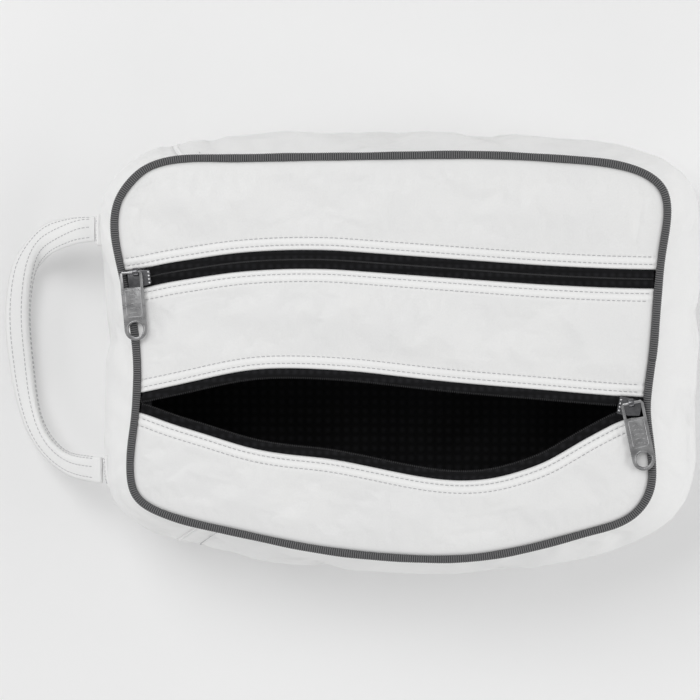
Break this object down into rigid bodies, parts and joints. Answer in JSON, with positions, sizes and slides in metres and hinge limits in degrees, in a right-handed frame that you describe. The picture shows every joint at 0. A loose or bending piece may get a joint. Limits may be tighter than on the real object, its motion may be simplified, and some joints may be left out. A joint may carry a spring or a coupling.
{
  "type": "golf shoe bag",
  "caption": "Soft two-compartment shoe bag with piped edges, two zips with pull tabs and a folded wrist strap.",
  "frame": {"origin": "centre of the back panel's outer face, which the bag lies on", "axes": "+X along the bag away from the handle, +Y up the front face towards the upper zip's panel, +Z out of the front face"},
  "size_m": [0.4444, 0.2755, 0.1161],
  "materials": {
    "shell_leatherette": "soft semi-matt coated leatherette, fine grain",
    "strap_leatherette": "soft semi-matt coated leatherette, fine grain",
    "ribbed_piping": "ribbed woven piping",
    "zip_tape": "woven polyester tape",
    "zip_coil": "moulded nylon coil",
    "slider_metal": "gunmetal nickel plate, polished",
    "pull_metal": "gunmetal nickel plate, brushed centre",
    "black_lining": "plain-weave nylon",
    "seam_binding": "woven tape",
    "stitch_thread": "twisted polyester thread"
  },
  "bodies": {
    "bag": {"front_upper_panel": "shell_leatherette", "front_middle_panel": "shell_leatherette", "front_lower_panel": "shell_leatherette", "back_panel": "shell_leatherette", "main_gusset": "shell_leatherette", "handle_end_gusset": "shell_leatherette", "front_piping": "ribbed_piping", "back_piping": "ribbed_piping", "gusset_lining": "black_lining", "back_lining": "black_lining", "divider_panel": "black_lining", "front_seam_binding": "seam_binding", "back_seam_binding": "seam_binding", "upper_zip_upper_tape": "zip_tape", "upper_zip_upper_coil": "zip_coil", "lower_zip_upper_tape": "zip_tape", "lower_zip_upper_coil": "zip_coil", "handle_upper_tab": "strap_leatherette", "handle_lower_tab": "strap_leatherette", "handle_upper_patch": "seam_binding", "handle_lower_patch": "seam_binding"},
    "upper_zip_lip": {"upper_zip_lower_tape": "zip_tape", "upper_zip_lower_coil": "zip_coil"},
    "lower_zip_lip": {"lower_zip_lower_tape": "zip_tape", "lower_zip_lower_coil": "zip_coil"},
    "upper_slider": {"upper_slider_body": "slider_metal", "upper_slider_bridge": "slider_metal"},
    "upper_pull": {"upper_pull_tab": "pull_metal"},
    "lower_slider": {"lower_slider_body": "slider_metal", "lower_slider_bridge": "slider_metal"},
    "lower_pull": {"lower_pull_tab": "pull_metal"},
    "handle": {"handle_strap": "strap_leatherette", "handle_strap_backing": "strap_leatherette"}
  },
  "joints": [
    {"name": "upper_zip_travel", "type": "hinge", "parent": "bag", "child": "upper_slider", "pos_m": [0.002, -1.2453, 0.11], "axis": [0, 0, -1], "range_deg": [0, 13.3]},
    {"name": "upper_pull_lift", "type": "hinge", "parent": "upper_slider", "child": "upper_pull", "pos_m": [-0.15549, 0.05399, 0.1136], "axis": [-0.9962, -0.0872, 0], "range_deg": [0, 165]},
    {"name": "upper_lip_open", "type": "slide", "parent": "bag", "child": "upper_zip_lip", "axis": [0, -1, 0], "range_m": [0, 0.016], "deforming": ["upper_zip_lower_tape", "upper_zip_lower_coil"]},
    {"name": "lower_zip_travel", "type": "hinge", "parent": "bag", "child": "lower_slider", "pos_m": [-0.00694, -0.868, 0.11], "axis": [0, 0, 1], "range_deg": [0, 19.5]},
    {"name": "lower_pull_lift", "type": "hinge", "parent": "lower_slider", "child": "lower_pull", "pos_m": [0.14917, -0.02549, 0.1136], "axis": [-0.9781, -0.2079, 0], "range_deg": [0, 165]},
    {"name": "lower_lip_close", "type": "slide", "parent": "bag", "child": "lower_zip_lip", "axis": [0, 1, 0], "range_m": [0, 0.053], "deforming": ["lower_zip_lower_tape", "lower_zip_lower_coil"]},
    {"name": "handle_swing", "type": "hinge", "parent": "bag", "child": "handle", "pos_m": [-0.18715, 0.00285, 0.0562], "axis": [-0.0229, 0.9997, 0], "range_deg": [0, 110]}
  ],
  "couplings": [
    {"joint": "upper_lip_open", "follows": "upper_zip_travel", "m_per_rad": 0.0689},
    {"joint": "lower_lip_close", "follows": "lower_zip_travel", "m_per_rad": 0.1557}
  ]
}
